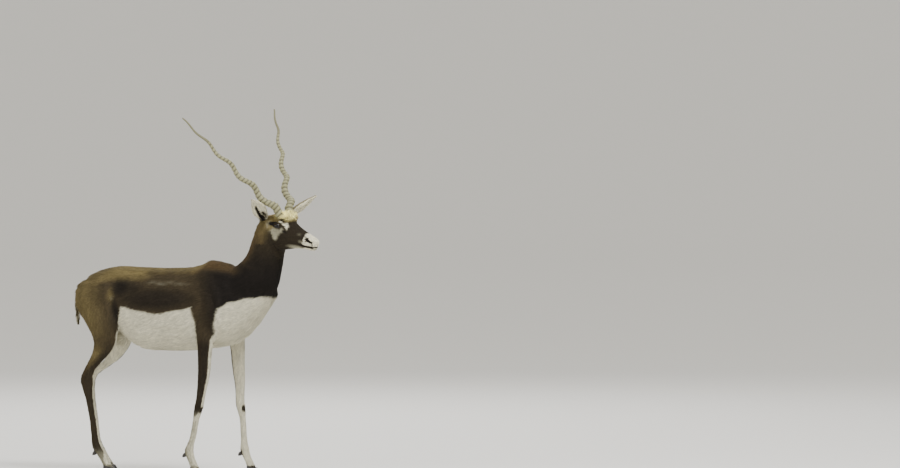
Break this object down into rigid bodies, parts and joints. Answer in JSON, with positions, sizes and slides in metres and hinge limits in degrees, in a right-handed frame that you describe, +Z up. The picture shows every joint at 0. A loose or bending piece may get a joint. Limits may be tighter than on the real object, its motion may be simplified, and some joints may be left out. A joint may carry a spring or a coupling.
{
  "type": "blackbuck",
  "caption": "Life-size standing adult male blackbuck antelope with long ringed corkscrew horns, dark coat, white belly and white eye rings.",
  "frame": {"origin": "centre of the bounding box on the ground under the hooves", "axes": "+X forward along the body, +Y to the animal's left, +Z up"},
  "size_m": [0.9726, 0.5, 1.3158],
  "materials": {
    "coat": "short flat fur, dark brown above and white below",
    "ear_skin": "thin skin with fine pale hair",
    "horn": "weathered ringed horn, olive beige",
    "hoof": "dark worn hoof horn",
    "eye": "wet, very dark brown"
  },
  "bodies": {
    "root": {"ear_left": "ear_skin", "ear_right": "ear_skin", "eye_left": "eye", "eye_right": "eye", "foreleg_left_cannon": "coat", "foreleg_left_claw_inner": "hoof", "foreleg_left_claw_outer": "hoof", "foreleg_left_dewclaw_inner": "hoof", "foreleg_left_dewclaw_outer": "hoof", "foreleg_left_foot": "coat", "foreleg_left_forearm": "coat", "foreleg_right_cannon": "coat", "foreleg_right_claw_inner": "hoof", "foreleg_right_claw_outer": "hoof", "foreleg_right_dewclaw_inner": "hoof", "foreleg_right_dewclaw_outer": "hoof", "foreleg_right_foot": "coat", "foreleg_right_forearm": "coat", "head": "coat", "hindleg_left_cannon": "coat", "hindleg_left_claw_inner": "hoof", "hindleg_left_claw_outer": "hoof", "hindleg_left_dewclaw_inner": "hoof", "hindleg_left_dewclaw_outer": "hoof", "hindleg_left_foot": "coat", "hindleg_left_thigh": "coat", "hindleg_right_cannon": "coat", "hindleg_right_claw_inner": "hoof", "hindleg_right_claw_outer": "hoof", "hindleg_right_dewclaw_inner": "hoof", "hindleg_right_dewclaw_outer": "hoof", "hindleg_right_foot": "coat", "hindleg_right_thigh": "coat", "horn_left": "horn", "horn_right": "horn", "neck": "coat", "tail": "coat", "torso": "coat"}
  },
  "joints": []
}
